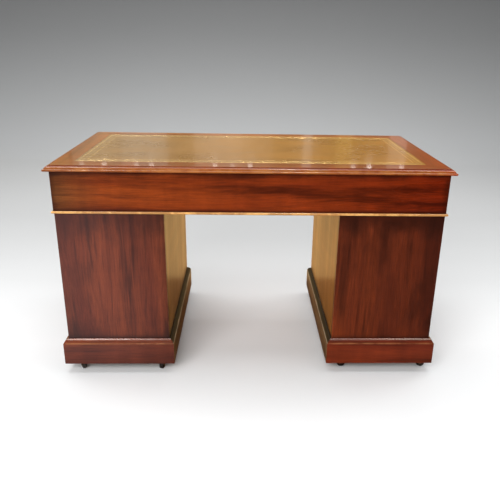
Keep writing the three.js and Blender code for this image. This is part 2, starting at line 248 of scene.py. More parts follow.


# Graduated paper: pale under the desk and grey at the top of the wall, its greys a painted falloff
# of the light over the floor and up the wall.
def makePaper():
    material, tree, surface = newMaterial("graduatedPaper", roughness=0.9, specular=0.0)
    x, y, z = split(tree, objectPlace(tree))
    along = arithmetic(tree, "ADD", y, z)
    paper = rampAlong(tree, along, [(distance, (grey, grey, grey)) for distance, grey in paperFalloffTones])
    leaning = arithmetic(tree, "ADD", times(tree, y, paintedReflectionEdges["slant"]), x)
    sideways = ranged(tree, leaning, *paintedReflectionEdges["sideways"], smooth=True)
    front = mixColour(tree, sideways, paintedReflectionTones["frontLeft"], paintedReflectionTones["frontRight"])
    back = mixColour(tree, ranged(tree, y, *paintedReflectionEdges["behind"]), paintedReflectionTones["under"], paintedReflectionTones["behind"])
    back = mixColour(tree, ranged(tree, along, *paintedReflectionEdges["wall"]), back, paintedReflectionTones["wall"])
    paintedReflection = mixColour(tree, ranged(tree, y, *paintedReflectionEdges["front"]), front, back)
    # painted reflection: glossy rays see the reflection tones, other rays the grey paper
    glossy = addNode(tree, "ShaderNodeLightPath").outputs["Is Glossy Ray"]
    tree.links.new(mixColour(tree, glossy, paper, paintedReflection), surface.inputs["Base Color"])
    return material


# Shader helpers

def addNode(tree, kind, inputs=None, **settings):
    node = tree.nodes.new(kind)
    for key, value in settings.items():
        setattr(node, key, value)
    for key, value in (inputs or {}).items():
        if isinstance(value, bpy.types.NodeSocket):
            tree.links.new(value, node.inputs[key])
        else:
            node.inputs[key].default_value = value
    return node


def objectPlace(tree):
    return addNode(tree, "ShaderNodeTexCoord").outputs["Object"]


def split(tree, vector):
    return addNode(tree, "ShaderNodeSeparateXYZ", {0: vector}).outputs


# The colour sockets of a Mix node are its seventh and eighth.
def mixColour(tree, factor, first, second, blend="MIX"):
    node = addNode(
        tree, "ShaderNodeMix", {0: factor, 6: first, 7: second}, data_type="RGBA", blend_type=blend,
    )
    return node.outputs[2]


# One grey colour from a value.
def greyOf(tree, value):
    return addNode(tree, "ShaderNodeCombineColor", {0: value, 1: value, 2: value}).outputs[0]


def arithmetic(tree, operation, first, second=0.0, clamp=False):
    node = addNode(tree, "ShaderNodeMath", {0: first, 1: second}, operation=operation, use_clamp=clamp)
    return node.outputs[0]


def ranged(tree, value, low, high, toLow=0.0, toHigh=1.0, smooth=False):
    node = addNode(tree, "ShaderNodeMapRange", {
        "Value": value, "From Min": low, "From Max": high, "To Min": toLow, "To Max": toHigh,
    })
    node.interpolation_type = "SMOOTHSTEP" if smooth else "LINEAR"
    return node.outputs["Result"]


# A colour for every (distance, colour) stop, blended between them.
def rampAlong(tree, distance, stops):
    first, last = stops[0][0], stops[-1][0]
    ramp = addNode(tree, "ShaderNodeValToRGB", {0: ranged(tree, distance, first, last)})
    elements = ramp.color_ramp.elements
    while len(elements) < len(stops):
        elements.new(0.5)
    for element, (place, colour) in zip(elements, stops):
        element.position = (place - first) / (last - first)
        element.color = (*colour, 1)
    return ramp.outputs["Color"]


def noise(tree, vector, scale, detail=3.0, roughness=0.5, distortion=0.0):
    node = addNode(tree, "ShaderNodeTexNoise", {
        "Vector": vector, "Scale": scale, "Detail": detail, "Roughness": roughness, "Distortion": distortion,
    })
    return node.outputs["Fac"]


def vectorMath(tree, operation, first, second=(0, 0, 0)):
    node = addNode(tree, "ShaderNodeVectorMath", {0: first, 1: second}, operation=operation)
    return node.outputs["Vector"]


def stretched(tree, vector, scale):
    return vectorMath(tree, "MULTIPLY", vector, scale)


def times(tree, first, second, clamp=False):
    return arithmetic(tree, "MULTIPLY", first, second, clamp)


def minus(tree, first, second, clamp=False):
    return arithmetic(tree, "SUBTRACT", first, second, clamp)


# How far apart two values are.
def gap(tree, first, second):
    return arithmetic(tree, "ABSOLUTE", minus(tree, first, second))


def addBump(tree, surface, strength, distance, height):
    bump = addNode(tree, "ShaderNodeBump", {"Strength": strength, "Distance": distance, "Height": height})
    tree.links.new(bump.outputs["Normal"], surface.inputs["Normal"])


def newMaterial(name, **uniform):
    material = bpy.data.materials.new(name)
    material.use_nodes = True
    tree = material.node_tree
    surface = tree.nodes["Principled BSDF"]
    sockets = {
        "roughness": "Roughness", "metallic": "Metallic", "coat": "Coat Weight",
        "coatRoughness": "Coat Roughness", "specular": "Specular IOR Level",
    }
    for key, value in uniform.items():
        surface.inputs[sockets[key]].default_value = value
    return material, tree, surface


def newGroup(name, inputs, outputs):
    group = bpy.data.node_groups.new(name, "ShaderNodeTree")
    for socketName, kind, value in inputs:
        socket = group.interface.new_socket(socketName, in_out="INPUT", socket_type=kind)
        if value is not None:
            socket.default_value = value
    for socketName, kind in outputs:
        group.interface.new_socket(socketName, in_out="OUTPUT", socket_type=kind)
    entry = group.nodes.new("NodeGroupInput")
    leave = group.nodes.new("NodeGroupOutput")
    return group, entry.outputs, leave.inputs


def useGroup(tree, group, inputs):
    return addNode(tree, "ShaderNodeGroup", inputs, node_tree=group).outputs


# Shared effects

colourSocket = "NodeSocketColor"
floatSocket = "NodeSocketFloat"
vectorSocket = "NodeSocketVector"


# Sawn and planed wood whose fibres run along the vector's X, in metres.
def makeGrainGroup():
    group, given, result = newGroup("woodGrain", [
        ("Vector", vectorSocket, None),
        ("Board", floatSocket, 0.0),
        ("Dark", colourSocket, (0.02, 0.01, 0.01, 1)),
        ("Middle", colourSocket, (0.15, 0.04, 0.02, 1)),
        ("Light", colourSocket, (0.3, 0.1, 0.04, 1)),
        ("Streaks", floatSocket, 0.5),
        ("Figure", floatSocket, 0.3),
        ("Pores", floatSocket, 0.5),
        ("Clouds", floatSocket, 0.4),
    ], [("Color", colourSocket), ("Gloss", floatSocket), ("Height", floatSocket)])
    # each board's grain is cut from its own place
    apart = addNode(group, "ShaderNodeCombineXYZ", {
        number: times(group, given["Board"], step) for number, step in enumerate((1.37, 0.83, 0.59))
    })
    own = vectorMath(group, "ADD", given["Vector"], apart.outputs[0])
    # slow waves in the fibres
    sway = addNode(group, "ShaderNodeTexNoise", {
        "Vector": stretched(group, own, (1.0, 4.0, 4.0)), "Scale": 1.4, "Detail": 2.0,
    })
    swayed = vectorMath(group, "SUBTRACT", sway.outputs["Color"], (0.5, 0.5, 0.5))
    bent = vectorMath(group, "ADD", own, stretched(group, swayed, (0.0, 0.055, 0.055)))
    broad = noise(group, stretched(group, bent, (0.75, 9.0, 9.0)), 1.0, 4.0, 0.55)
    bands = noise(group, stretched(group, bent, (1.3, 19.0, 19.0)), 1.0, 5.0, 0.66)
    fibres = noise(group, stretched(group, bent, (9.0, 330.0, 330.0)), 1.0, 3.0, 0.6)
    pores = noise(group, stretched(group, bent, (150.0, 2300.0, 2300.0)), 1.0, 1.0, 0.5)
    ribbon = noise(group, stretched(group, own, (17.0, 3.0, 3.0)), 1.0, 2.0, 0.5, 0.6)
    lines = noise(group, stretched(group, bent, (2.6, 64.0, 64.0)), 1.0, 6.0, 0.76)
    clouds = noise(group, stretched(group, own, (2.6, 6.0, 6.0)), 1.0, 4.0, 0.6)
    body = mixColour(group, ranged(group, broad, 0.36, 0.64, smooth=True), given["Middle"], given["Light"])
    wide = times(group, ranged(group, bands, 0.46, 0.68, smooth=True), given["Streaks"])
    fine = times(group, ranged(group, lines, 0.48, 0.7, 0.0, 0.6, smooth=True), given["Streaks"])
    cloudy = times(group, ranged(group, clouds, 0.5, 0.72, smooth=True), given["Clouds"])
    darkness = arithmetic(group, "MAXIMUM", arithmetic(group, "MAXIMUM", wide, fine), cloudy)
    streaked = mixColour(group, darkness, body, given["Dark"])
    threads = ranged(group, fibres, 0.25, 0.75, 0.72, 1.28)
    threaded = mixColour(group, 1.0, streaked, greyOf(group, threads), "MULTIPLY")
    glow = ranged(group, ribbon, 0.3, 0.7, -0.5, 0.5)
    glowed = arithmetic(group, "ADD", times(group, glow, given["Figure"]), 1.0)
    figured = mixColour(group, 1.0, threaded, greyOf(group, glowed), "MULTIPLY")
    poreMask = times(group, ranged(group, pores, 0.62, 0.7, smooth=True), given["Pores"])
    group.links.new(mixColour(group, poreMask, figured, given["Dark"]), result["Color"])
    group.links.new(ranged(group, broad, 0.3, 0.7), result["Gloss"])
    group.links.new(minus(group, fibres, poreMask), result["Height"])
    return group


# Where hands and dusters have rubbed an edge, and along the bead and the inner plinth arrises
# a painted highlight: the arris attribute broken up by noise.
def makeEdgeWearAndHighlightGroup():
    group, given, result = newGroup("rubbedEdges", [
        ("Vector", vectorSocket, None),
        ("Edge", floatSocket, 0.0),
        ("Amount", floatSocket, 0.5),
        ("Evenness", floatSocket, 0.2),
    ], [("Mask", floatSocket)])
    patches = noise(group, given["Vector"], 14.0, 4.0, 0.65)
    broken = arithmetic(group, "MAXIMUM", ranged(group, patches, 0.35, 0.62, smooth=True), given["Evenness"])
    rubbedAndLit = times(group, times(group, broken, given["Edge"]), given["Amount"])
    group.links.new(arithmetic(group, "MINIMUM", rubbedAndLit, 1.0), result["Mask"])
    return group


# A band above a height is darkened, densest at the height itself: painted shade in the corner
# where a panel meets the moulding or bead below, together with old wax and dust.
def makeShadeAndWaxGroup():
    group, given, result = newGroup("settledWax", [
        ("Vector", vectorSocket, None),
        ("Height", floatSocket, 0.0),
        ("Depth", floatSocket, 0.02),
    ], [("Mask", floatSocket)])
    rise = gap(group, split(group, given["Vector"])["Z"], given["Height"])
    near = minus(group, 1.0, arithmetic(group, "DIVIDE", rise, given["Depth"]), clamp=True)
    patches = noise(group, given["Vector"], 9.0, 3.0, 0.6)
    soft = times(group, near, ranged(group, patches, 0.25, 0.7, 0.35, 1.0))
    group.links.new(soft, result["Mask"])
    return group


# Darker near a board's edges: painted shade under the overhangs and beads, along with aged polish;
# the mask rises within a reach of the box's sides.
def makeEdgeShadeAndAgeGroup():
    group, given, result = newGroup("agedEdges", [
        ("Vector", vectorSocket, None),
        ("Centre", vectorSocket, (0, 0, 0)),
        ("Half", vectorSocket, (1, 1, 1)),
        ("Reach", floatSocket, 0.05),
    ], [("Mask", floatSocket)])
    off = vectorMath(group, "ABSOLUTE", vectorMath(group, "SUBTRACT", given["Vector"], given["Centre"]))
    x, y, z = split(group, vectorMath(group, "SUBTRACT", given["Half"], off))
    nearest = arithmetic(group, "MINIMUM", arithmetic(group, "MINIMUM", x, y), z)
    uneven = noise(group, stretched(group, given["Vector"], (9.0, 9.0, 9.0)), 1.0, 4.0, 0.6)
    share = arithmetic(group, "DIVIDE", nearest, given["Reach"])
    share = arithmetic(group, "ADD", share, ranged(group, uneven, 0.3, 0.7, -0.45, 0.45))
    group.links.new(ranged(group, share, 0.0, 1.1, 1.0, 0.0, smooth=True), result["Mask"])
    return group


woodGrain = makeGrainGroup()
agedEdges = makeEdgeShadeAndAgeGroup()
rubbedEdges = makeEdgeWearAndHighlightGroup()
settledWax = makeShadeAndWaxGroup()
print("shared shader groups made")


# Finishes

# Which way the fibres run, as the turn that brings that axis to X.
fibreTurns = {"x": (0, 0, 0), "y": (0, 0, math.radians(-90)), "z": (0, math.radians(90), 0)}

mahoganyFacts = {
    "dark": (0.020, 0.0048, 0.0026, 1),
    "middle": (0.105, 0.016, 0.0042, 1),
    "light": (0.20, 0.036, 0.0085, 1),
    "worn": (0.36, 0.14, 0.05, 1),
    # the dark colour and strength of the band above a height: painted corner shade with old wax
    "wax": (0.010, 0.005, 0.004, 1),
    "waxStrength": 0.75,
    "roughness": (0.36, 0.26),
    "coat": 0.3,
    "coatRoughness": 0.14,
    "bump": 0.12,
    "specular": 0.42,
    "evenness": 0.3,       # how unbroken the wear on an edge is, and on the bead the painted highlight
    "fading": None,        # places along X and the tint at each; on some boards a painted sheen, reflection and shade
    "aged": 0.6,           # how dark the board's edges are made: painted shade with aged polish
    "agedReach": 0.03,
}


# The box, as (centre, half size), has its sides darkened with painted shade and aged polish;
# a long half leaves that direction alone.
def makeWood(name, fibres, shadeAndWaxHeight=None, shadeAndWaxDepth=0.02, streaks=0.6, figure=0.25, pores=0.5,
             clouds=0.3, wear=0.8, shiftBy=(0, 0, 0), shadeAndAgeBox=None, **changes):
    facts = {**mahoganyFacts, **changes}
    material, tree, surface = newMaterial(
        name, coat=facts["coat"], coatRoughness=facts["coatRoughness"], specular=facts["specular"],
    )
    place = objectPlace(tree)
    along = addNode(tree, "ShaderNodeMapping", {
        "Vector": place, "Location": shiftBy, "Rotation": fibreTurns[fibres],
    })
    board = addNode(tree, "ShaderNodeAttribute", attribute_name="boardNumber").outputs["Fac"]
    edge = addNode(tree, "ShaderNodeAttribute", attribute_name="edgeWear").outputs["Fac"]
    grain = useGroup(tree, woodGrain, {
        "Vector": along.outputs["Vector"], "Board": board, "Dark": facts["dark"], "Middle": facts["middle"],
        "Light": facts["light"], "Streaks": streaks, "Figure": figure, "Pores": pores, "Clouds": clouds,
    })
    colour = grain["Color"]
    if facts["fading"] is not None:
        tint = rampAlong(tree, split(tree, place)["X"], facts["fading"])
        colour = mixColour(tree, 1.0, colour, tint, "MULTIPLY")
    if shadeAndAgeBox is not None:
        aged = useGroup(tree, agedEdges, {
            "Vector": place, "Centre": shadeAndAgeBox[0], "Half": shadeAndAgeBox[1], "Reach": facts["agedReach"],
        })["Mask"]
        colour = mixColour(tree, times(tree, aged, facts["aged"]), colour, facts["dark"])
    # rubbed wear on the arrises; on the bead and inner plinths the worn colour is partly a painted highlight
    rubbedAndLit = useGroup(tree, rubbedEdges, {
        "Vector": place, "Edge": edge, "Amount": wear, "Evenness": facts["evenness"],
    })["Mask"]
    colour = mixColour(tree, rubbedAndLit, colour, facts["worn"])
    # painted shade in the corner above a height, with old wax
    if shadeAndWaxHeight is not None:
        wax = useGroup(tree, settledWax, {"Vector": place, "Height": shadeAndWaxHeight, "Depth": shadeAndWaxDepth})["Mask"]
        shadeAndWaxAmount = times(tree, wax, facts["waxStrength"], clamp=True)
        colour = mixColour(tree, shadeAndWaxAmount, colour, facts["wax"])
    tree.links.new(colour, surface.inputs["Base Color"])
    rough = ranged(tree, grain["Gloss"], 0.0, 1.0, *facts["roughness"])
    tree.links.new(rough, surface.inputs["Roughness"])
    addBump(tree, surface, facts["bump"], 0.4 * mm, grain["Height"])
    return material


# Piece helpers

boardCount = 0


def labelOf(name):
    return "".join(word.capitalize() for word in name.split("_"))


def newMeshBuilder():
    bm = bmesh.new()
    bm.verts.layers.float.new("edgeWear")
    bm.verts.layers.float.new("boardNumber")
    return bm


# Turns a finished bmesh into a piece that rides on a body, and hides the nodes that it stands for.
def finishPiece(name, bm, material, body, nodes, sharpAngle=28):
    global boardCount
    boardCount += 1
    numbers = bm.verts.layers.float["boardNumber"]
    for vert in bm.verts:
        vert[numbers] = boardCount
    mesh = bpy.data.meshes.new(name)
    bm.to_mesh(mesh)
    bm.free()
    placeMesh(name, mesh, material, body, nodes, sharpAngle)


def placeMesh(name, mesh, material, body, nodes, sharpAngle):
    mesh.name = name
    mesh.materials.clear()
    mesh.materials.append(material)
    mesh.shade_smooth()
    mesh.set_sharp_from_angle(angle=math.radians(sharpAngle))
    piece = bpy.data.objects.new(name, mesh)
    scene.collection.objects.link(piece)
    weights = piece.modifiers.new("faceWeights", "WEIGHTED_NORMAL")
    weights.keep_sharp = True
    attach(piece, body)
    if nodes:
        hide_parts(*nodes)


def addBox(bm, low, high):
    verts = bmesh.ops.create_cube(bm, size=1)["verts"]
    bmesh.ops.scale(bm, vec=high - low, verts=verts)
    bmesh.ops.translate(bm, vec=(low + high) / 2, verts=verts)
    return verts


# A planed board between two corners, its arrises taken off.
def addBoard(bm, low, high, ease, segments=3):
    verts = addBox(bm, Vector(low), Vector(high))
    easeEdges(bm, {edge for vert in verts for edge in vert.link_edges}, ease, segments)


def easeEdges(bm, edges, ease, segments):
    eased = bmesh.ops.bevel(
        bm, geom=list(edges), offset=ease, affect="EDGES", segments=segments, profile=0.5, material=-1,
        clamp_overlap=True,
    )
    wear = bm.verts.layers.float["edgeWear"]
    made = set(eased["faces"])
    for face in made:
        for vert in face.verts:
            if all(other in made for other in vert.link_faces):
                vert[wear] = 1.0


# A board that fills a node's box.
def boardPiece(name, node, finish, ease):
    bm = newMeshBuilder()
    addBoard(bm, *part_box(node), ease)
    finishPiece(name, bm, polish[finish], "desk", [node])


def arcPoints(centre, radius, startDegrees, endDegrees, steps):
    points = []
    for step in range(steps + 1):
        angle = math.radians(startDegrees + (endDegrees - startDegrees) * step / steps)
        points.append((centre[0] + radius * math.cos(angle), centre[1] + radius * math.sin(angle)))
    return points


def sweep(start, startPull, endPull, end, steps):
    corners = [Vector((point[0], point[1], 0)) for point in (start, startPull, endPull, end)]
    return [(point.x, point.y) for point in interpolate_bezier(*corners, steps + 1)]


# Extrudes a face and gives the new corners.
def pulledVerts(bm, face):
    pulled = bmesh.ops.extrude_face_region(bm, geom=[face])
    return [item for item in pulled["geom"] if isinstance(item, bmesh.types.BMVert)]


mitreSeam = 0.12 * mm      # what each length lacks at its mitres


# One length of a moulding that is mitred round a rectangle. Profile points are (outwards, height),
# and worn ones are named by their numbers. Side 0 faces -Y, 1 +X, 2 +Y and 3 -X.
def mouldedLength(name, profile, worn, centre, halves, side, finish, node):
    halfAlong, halfAcross = halves if side % 2 == 0 else (halves[1], halves[0])
    bm = newMeshBuilder()
    wear = bm.verts.layers.float["edgeWear"]
    ring = []
    for number, (out, height) in enumerate(profile):
        vert = bm.verts.new((-(halfAlong + out - mitreSeam), -(halfAcross + out), height))
        vert[wear] = 1.0 if number in worn else 0.0
        ring.append(vert)
    for vert in pulledVerts(bm, bm.faces.new(ring)):
        vert.co.x = -vert.co.x
    bmesh.ops.recalc_face_normals(bm, faces=bm.faces[:])
    turn = Matrix.Rotation(math.radians(90 * side), 3, "Z")
    bmesh.ops.rotate(bm, verts=bm.verts[:], cent=(0, 0, 0), matrix=turn)
    bmesh.ops.translate(bm, verts=bm.verts[:], vec=(centre[0], centre[1], 0))
    finishPiece(name, bm, polish[finish], "desk", [node])


# The four mitred lengths of a frame, each with its own finish.
def mitredFrame(label, profile, worn, centre, halves, finishes, node):
    for side, (sideName, finish) in enumerate(zip(sideNames, finishes)):
        mouldedLength(label + sideName, profile, worn, centre, halves, side, finish, node)


# A turned piece: (radius, along) points spun about an axis through a centre.
def addTurned(bm, profile, centre, axis, steps):
    axis = Vector(axis).normalized()
    side = axis.orthogonal().normalized()
    verts = [bm.verts.new(Vector(centre) + side * radius + axis * along) for radius, along in profile]
    edges = [bm.edges.new(pair) for pair in zip(verts, verts[1:])]
    bmesh.ops.spin(
        bm, geom=verts + edges, cent=centre, axis=axis, angle=math.tau, steps=steps, use_merge=True,
    )


def closeTurned(bm):
    bmesh.ops.remove_doubles(bm, verts=bm.verts[:], dist=0.01 * mm)
    bmesh.ops.recalc_face_normals(bm, faces=bm.faces[:])


def turnedPattern(profile, centre, axis, steps=40):
    bm = newMeshBuilder()
    addTurned(bm, profile, centre, axis, steps)
    closeTurned(bm)
    return bm


# A CAD board keeps its shape, and gets eased arrises and a finish.
def dressNode(name, finish, ease=0.7 * mm):
    node = frame["nodes"][name]
    node.data.materials.clear()
    node.data.materials.append(polish[finish])
    weld = node.modifiers.new("joinedCorners", "WELD")
    weld.merge_threshold = 0.02 * mm
    arris = node.modifiers.new("easedArrises", "BEVEL")
    arris.width = ease
    arris.segments = 2
    arris.limit_method = "ANGLE"
    arris.angle_limit = math.radians(40)
    arris.harden_normals = True


sideNames = ("Back", "Right", "Front", "Left")


# Top: border, leather, core

topFacts = {
    "noseRadius": 4 * mm,
    "flatInset": 20 * mm,
    "quirk": 3.6 * mm,       # how deep the sunk line inside the moulding is
    "toolingLines": ((6 * mm, 0.7 * mm), (12 * mm, 2.6 * mm), (37 * mm, 1.6 * mm)),
    "rollCentre": 24 * mm,    # the gilt roll between the lines
    "rollPitch": 11 * mm,
}


def makeTopBorder():
    facts = topFacts
    low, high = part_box("top_border")
    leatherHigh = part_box("top_leather")[1]
    centre = (low + high) / 2
    halves = ((high.x - low.x) / 2, (high.y - low.y) / 2)
    inner = (leatherHigh.x - high.x) + 0.15 * mm
    nose, inset, quirk = facts["noseRadius"], facts["flatInset"], facts["quirk"]
    noseZ = low.z + nose
    ovolo = sweep(
        (-nose - 1.5 * mm, noseZ + nose), (-nose - 2.4 * mm, high.z - 5.4 * mm),
        (-10.5 * mm, high.z - 2 * mm), (-15 * mm, high.z - 2.2 * mm), 9,
    )
    hollow = sweep(
        (-16 * mm, high.z - 2.4 * mm), (-18 * mm, high.z - 2.6 * mm),
        (-inset + 1 * mm, high.z - quirk), (-inset, high.z - quirk), 3,
    )
    profile = [(inner, low.z), *arcPoints((-nose, noseZ), nose, -90, 90, 10), *ovolo, *hollow]
    worn = set(range(5, 16))
    profile += [(-inset - 0.1 * mm, high.z - 0.5 * mm), (-inset - 0.7 * mm, high.z), (inner, high.z)]
    mitredFrame("topBorder", profile, worn, centre, halves, ["borderAlong", "borderAcross"] * 2, "top_border")


def makeLeather():
    low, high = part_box("top_leather")
    bm = newMeshBuilder()
    reached, wall, sunk = 0.3 * mm, 0.2 * mm, 0.25 * mm
    addBoard(bm, low, high, reached, 2)
    bm.faces.ensure_lookup_table()
    field = max(bm.faces, key=lambda face: face.calc_center_median().z * face.calc_area())
    for distance, width in topFacts["toolingLines"]:
        start = distance - width / 2
        for inset, depth in ((start - reached, 0), (wall, -sunk), (width - 2 * wall, 0), (wall, sunk)):
            bmesh.ops.inset_region(bm, faces=[field], thickness=inset, depth=depth, use_even_offset=True)
        reached = distance + width / 2
    finishPiece("leatherInlay", bm, polish["leather"], "desk", ["top_leather"])


leatherFacts = {
    "dark": (0.205, 0.090, 0.011, 1),
    "light": (0.315, 0.155, 0.026, 1),
    "stain": (0.17, 0.092, 0.022, 1),
    "crease": (0.12, 0.065, 0.018, 1),
    "margin": (0.2, 0.11, 0.03, 1),
    "gilt": (0.86, 0.62, 0.25, 1),
    "leftTint": (0.95, 1.02, 2.3, 1),
    "rightTint": (1.22, 0.93, 0.08, 1),
}


def makeLeatherFinish():
    facts = leatherFacts
    low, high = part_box("top_leather")
    halfX, halfY = (high.x - low.x) / 2, (high.y - low.y) / 2
    material, tree, surface = newMaterial("goldenLeather", coat=0.3, coatRoughness=0.12, specular=0.4)
    place = objectPlace(tree)
    mottle = noise(tree, stretched(tree, place, (1.0, 1.7, 1.0)), 4.3, 3.0, 0.55)
    stain = noise(tree, stretched(tree, place, (0.9, 2.6, 1.0)), 2.2, 4.0, 0.55)
    base = mixColour(tree, ranged(tree, mottle, 0.34, 0.68, smooth=True), facts["dark"], facts["light"])
    base = mixColour(tree, ranged(tree, stain, 0.44, 0.78, 0.0, 0.45), base, facts["stain"])
    cells = addNode(
        tree, "ShaderNodeTexVoronoi", {"Vector": place, "Scale": 620.0, "Randomness": 1.0}, feature="F1",
    )
    creases = ranged(tree, cells.outputs["Distance"], 0.1, 0.75)
    hide = noise(tree, place, 240.0, 3.0, 0.6)
    base = mixColour(tree, ranged(tree, creases, 0.4, 1.0, 0.0, 0.22), base, facts["crease"])
    # how far inside the leather's edge a point lies
    x, y = split(tree, place)[:2]
    insideX = minus(tree, halfX, arithmetic(tree, "ABSOLUTE", x))
    fromCentre = minus(tree, y, (low.y + high.y) / 2)
    insideY = minus(tree, halfY, arithmetic(tree, "ABSOLUTE", fromCentre))
    inside = arithmetic(tree, "MINIMUM", insideX, insideY)
    gilt = None
    for distance, width in topFacts["toolingLines"]:
        line = ranged(tree, gap(tree, inside, distance), width * 0.42, width * 0.56, 1.0, 0.0)
        gilt = line if gilt is None else arithmetic(tree, "MAXIMUM", gilt, line)
    roll = giltRoll(tree, x, fromCentre, inside, insideX, insideY)
    gilt = arithmetic(tree, "MAXIMUM", gilt, roll)
    rubbedOff = ranged(tree, noise(tree, place, 26.0, 4.0, 0.7), 0.34, 0.5, 0.35, 1.0)
    gilt = times(tree, gilt, rubbedOff)
    margin = ranged(tree, inside, 0.0, 0.05, 0.35, 0.0, smooth=True)
    base = mixColour(tree, margin, base, facts["margin"])
    tint = mixColour(tree, ranged(tree, x, -0.6, 0.6), facts["leftTint"], facts["rightTint"])
    base = mixColour(tree, 1.0, base, tint, "MULTIPLY")
    tree.links.new(mixColour(tree, gilt, base, facts["gilt"]), surface.inputs["Base Color"])
    tree.links.new(times(tree, gilt, 0.5), surface.inputs["Metallic"])
    rough = ranged(tree, mottle, 0.3, 0.7, 0.24, 0.34)
    tree.links.new(rough, surface.inputs["Roughness"])
    ripples = noise(tree, stretched(tree, place, (9.0, 95.0, 1.0)), 1.0, 4.0, 0.6)
    relief = arithmetic(tree, "ADD", creases, hide)
    relief = arithmetic(tree, "ADD", relief, times(tree, ripples, 2.6))
    addBump(tree, surface, 0.22, 0.4 * mm, relief)
    return material


# A run of small lozenges, as a gilding wheel rolls them.
def giltRoll(tree, x, y, inside, insideX, insideY):
    facts = topFacts
    alongX = arithmetic(tree, "GREATER_THAN", insideX, insideY)
    along = addNode(tree, "ShaderNodeMix", {0: alongX, 2: y, 3: x}, data_type="FLOAT").outputs[0]
    saw = gap(tree, arithmetic(tree, "FRACT", times(tree, along, 1 / facts["rollPitch"])), 0.5)
    across = times(tree, gap(tree, inside, facts["rollCentre"]), 1 / (8 * mm))
    reach = arithmetic(tree, "ADD", saw, across)
    lozenge = ranged(tree, gap(tree, reach, 0.42), 0.05, 0.09, 0.5, 0.0)
    dot = ranged(tree, reach, 0.09, 0.14, 0.5, 0.0)
    return arithmetic(tree, "MAXIMUM", lozenge, dot)


# The middle of a frame, the half sizes of the carcase inside it, and how far it stands out from that.
def frameRound(frameNode, backNode):
    low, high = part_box(frameNode)
    backLow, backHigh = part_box(backNode)
    centre = (low + high) / 2
    halves = ((backHigh.x - backLow.x) / 2, centre.y - backLow.y)
    return centre, halves, (high.x - low.x) / 2 - halves[0]


# Frieze and its bead

def makeFrieze():
    boardPiece("friezeBackBoard", "frieze_back", "friezeBack", 1.0 * mm)
    for side in ("left", "right"):
        boardPiece("friezeSide" + side.capitalize(), "frieze_side_" + side, "friezeSide", 1.0 * mm)
        dressNode("frieze_divider_" + side, "dividerEdge")
    dressNode("frieze_floor", "railAlong")
    dressNode("top_core_panel", "pineAlong")


def makeBead():
    low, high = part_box("frieze_bead")
    centre, halves, reach = frameRound("frieze_bead", "frieze_back")
    radius = (high.z - low.z) / 2
    middle = low.z + radius
    halfRound = arcPoints((reach - radius, middle), radius, -90, 90, 14)
    profile = [(0.1 * mm, low.z), *halfRound, (0.1 * mm, high.z)]
    # the front and upper points of the bead, which carry its wear and its painted highlight
    worn = set(range(5, 14))
    mitredFrame("friezeBead", profile, worn, centre, halves, ["beadAlong", "beadAcross"] * 2, "frieze_bead")


# Pedestals

plinthFacts = {"faceHeight": 83 * mm}


# The finish of each board inside a pedestal, and how much its arrises are eased.
pedestalBoards = {
    "outer_side": ("outerSide", 1.0 * mm), "inner_side": ("kneeholeSide", 1.0 * mm),
    "top_board": ("pineAlong", 0.7 * mm), "bottom_board": ("pineAlong", 0.7 * mm),
    "upper_rail": ("railAlong", 0.7 * mm), "lower_rail": ("railAlong", 0.7 * mm),
}


def makePedestals():
    for side in ("left", "right"):
        boardPiece(side + "PedestalBack", side + "_back", side + "Back", 1.2 * mm)
        for board, (finish, ease) in pedestalBoards.items():
            dressNode(f"{side}_{board}", finish, ease)
        makePlinth(side)


def makePlinth(side):
    facts = plinthFacts
    low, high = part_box(side + "_plinth")
    centre, halves, reach = frameRound(side + "_plinth", side + "_back")
    arris = low.z + facts["faceHeight"]
    face = [(0.1 * mm, low.z), (reach - 1 * mm, low.z), (reach, low.z + 1 * mm), (reach, low.z + 3 * mm)]
    face += [(reach, arris - 3 * mm), (reach, arris - 0.5 * mm), (reach - 0.4 * mm, arris + 0.2 * mm)]
    rise = high.z - arris
    moulding = sweep(
        (reach - 1.2 * mm, arris + 0.9 * mm), (reach - 4 * mm, arris + rise * 0.45),
        (reach * 0.5, high.z - 3.2 * mm), (2.6 * mm, high.z), 12,
    )
    profile = face + moulding + [(0.1 * mm, high.z)]
    # the arris points: worn on the outer faces, a painted highlight on the kneehole faces
    worn = {5, 6, 7, 8}
    finishes = [side + "PlinthAlong", side + "PlinthAcross"] * 2
    finishes[1 if side == "left" else 3] = "kneeholePlinth"
    mitredFrame(side + "Plinth", profile, worn, centre, halves, finishes, side + "_plinth")


# Drawers

drawerFacts = {
    "frontThick": 20 * mm,
    "beadWidth": 3.2 * mm,
    "beadProud": 1.3 * mm,
    "sideThick": 10 * mm,
    "bottomThick": 6 * mm,
    "knobSpacing": 0.25,      # of the front's width, to each side of its middle
    "lockDrop": 24 * mm,
    "knobRadius": 16 * mm,
    "knobLength": 26 * mm,
    "tailPitch": 30 * mm,
}

escutcheonFacts = {"halfWidth": 7.5 * mm, "halfHeight": 12 * mm, "thick": 0.9 * mm, "steps": 48}


def knobProfile():
    radius, length = drawerFacts["knobRadius"], drawerFacts["knobLength"]
    collar = [(0, -0.5 * mm), (9.6 * mm, -0.5 * mm), (10 * mm, 0.4 * mm), (10 * mm, 1.3 * mm)]
    collar.append((9.4 * mm, 2.1 * mm))
    neck = sweep((8.6 * mm, 2.3 * mm), (5.6 * mm, 4 * mm), (5.6 * mm, 9 * mm), (10.5 * mm, 13.4 * mm), 8)
    flare = sweep((12.6 * mm, 14.4 * mm), (15 * mm, 15.8 * mm), (radius, 17 * mm), (radius, 19 * mm), 5)
    dome = sweep(
        (radius - 0.2 * mm, 20.2 * mm), (radius - 1.4 * mm, 23.6 * mm), (7 * mm, length), (0, length), 9,
    )
    return collar + neck + flare + dome


